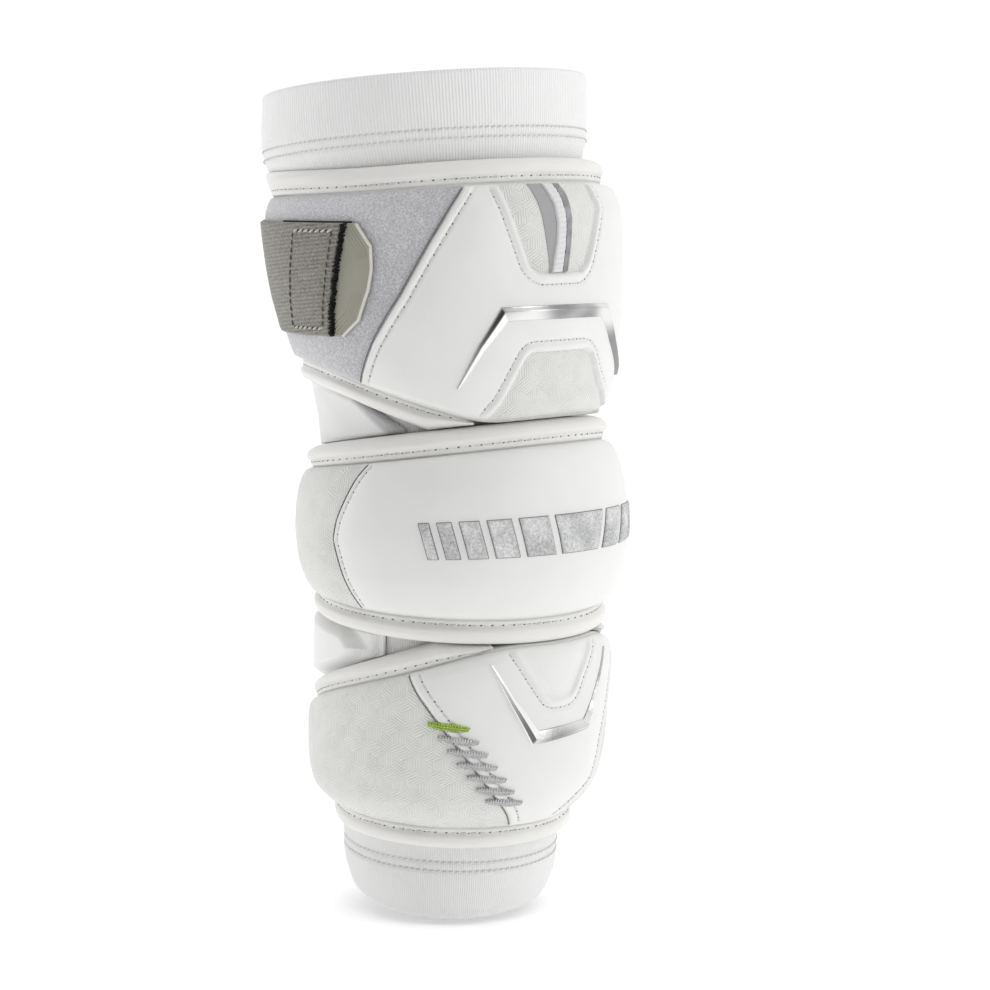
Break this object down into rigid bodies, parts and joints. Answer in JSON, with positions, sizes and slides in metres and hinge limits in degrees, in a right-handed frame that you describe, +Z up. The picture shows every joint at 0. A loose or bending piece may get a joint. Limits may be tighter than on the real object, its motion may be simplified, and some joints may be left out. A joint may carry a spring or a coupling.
{
  "type": "arm pad",
  "caption": "Padded arm guard: a knit sleeve with foam pads over the upper arm, elbow and forearm, and a hook and loop strap round the top.",
  "frame": {"origin": "on the arm's axis, at the middle of the elbow pad", "axes": "+Z runs up the arm to the top hem, -Y is the front where the elbow's tip points, +X is to the right seen from behind"},
  "size_m": [0.1453, 0.1513, 0.3319],
  "materials": {
    "knit": "matt ribbed knit",
    "foam": "moulded foam, matt",
    "cover": "smooth synthetic leather, low sheen",
    "embossed": "embossed synthetic leather",
    "binding": "stitched synthetic binding tape",
    "loop": "brushed loop cloth",
    "webbing": "ribbed webbing",
    "hook": "hook tape",
    "rubber": "moulded rubber, matt",
    "chrome": "bright moulded trim",
    "mesh": "open mesh",
    "silver": "metallic embroidery thread",
    "lime": "embroidery thread",
    "wing": "padded knit"
  },
  "bodies": {
    "root": {"sleeve": "knit", "upper_pad": "foam", "elbow_pad": "foam", "forearm_pad": "foam", "upper_front_panel": "cover", "vent_band": "cover", "elbow_front_panel": "cover", "forearm_front_panel": "cover", "vent_panel": "embossed", "upper_insert": "embossed", "upper_side_panel": "embossed", "elbow_side_panel_left": "embossed", "elbow_side_panel_right": "embossed", "forearm_insert": "embossed", "forearm_side_panel_left": "embossed", "forearm_side_panel_right": "embossed", "vent_mesh": "mesh", "loop_field": "loop", "upper_chrome_trim": "chrome", "forearm_chrome_trim": "chrome", "upper_top_binding": "binding", "upper_bottom_binding_left": "binding", "upper_bottom_binding_right": "binding", "elbow_top_binding": "binding", "elbow_bottom_binding": "binding", "forearm_top_binding_left": "binding", "forearm_top_binding_right": "binding", "forearm_bottom_binding": "binding", "strap": "webbing", "strap_hook": "hook", "pull_tab": "rubber", "emblem_bar_middle": "silver", "emblem_bar_left_1": "silver", "emblem_bar_right_1": "silver", "emblem_bar_left_2": "silver", "emblem_bar_right_2": "silver", "emblem_bar_left_3": "silver", "emblem_bar_right_3": "silver", "emblem_bar_left_4": "silver", "emblem_bar_right_4": "silver", "emblem_bar_left_5": "silver", "emblem_bar_right_5": "silver", "bar_tack_2": "silver", "bar_tack_3": "silver", "bar_tack_4": "silver", "bar_tack_5": "silver", "bar_tack_6": "silver", "bar_tack_7": "silver", "bar_tack_1": "lime", "upper_wing_left": "wing", "lower_wing_left": "wing", "upper_wing_right": "wing", "lower_wing_right": "wing"}
  },
  "joints": []
}
